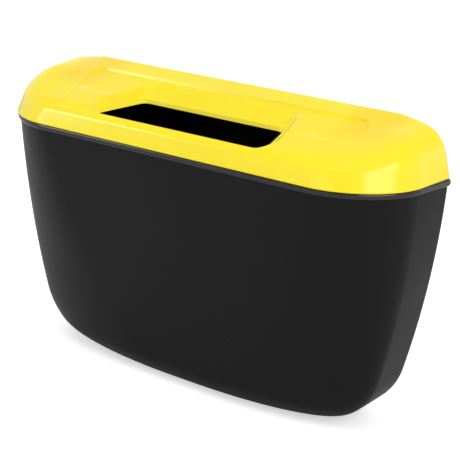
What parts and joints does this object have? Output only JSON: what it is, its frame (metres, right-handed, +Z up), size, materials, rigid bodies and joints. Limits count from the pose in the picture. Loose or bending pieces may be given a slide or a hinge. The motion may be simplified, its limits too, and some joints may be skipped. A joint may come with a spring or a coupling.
{
  "type": "car trash bin",
  "caption": "Tapered black hanging bin with moulded hooks on its flat back and a yellow press-on lid with a scooped mouth.",
  "frame": {"origin": "centre of the flat base, on the surface that the bin stands on", "axes": "+X along the length, +Y towards the flat back with the hooks, +Z up; the front faces -Y"},
  "size_m": [0.2302, 0.066, 0.1419],
  "materials": {
    "black_plastic": "satin moulded, with a glossier rim bead",
    "yellow_plastic": "glossy moulded"
  },
  "bodies": {
    "root": {"bin": "black_plastic", "lid": "yellow_plastic"}
  },
  "joints": []
}
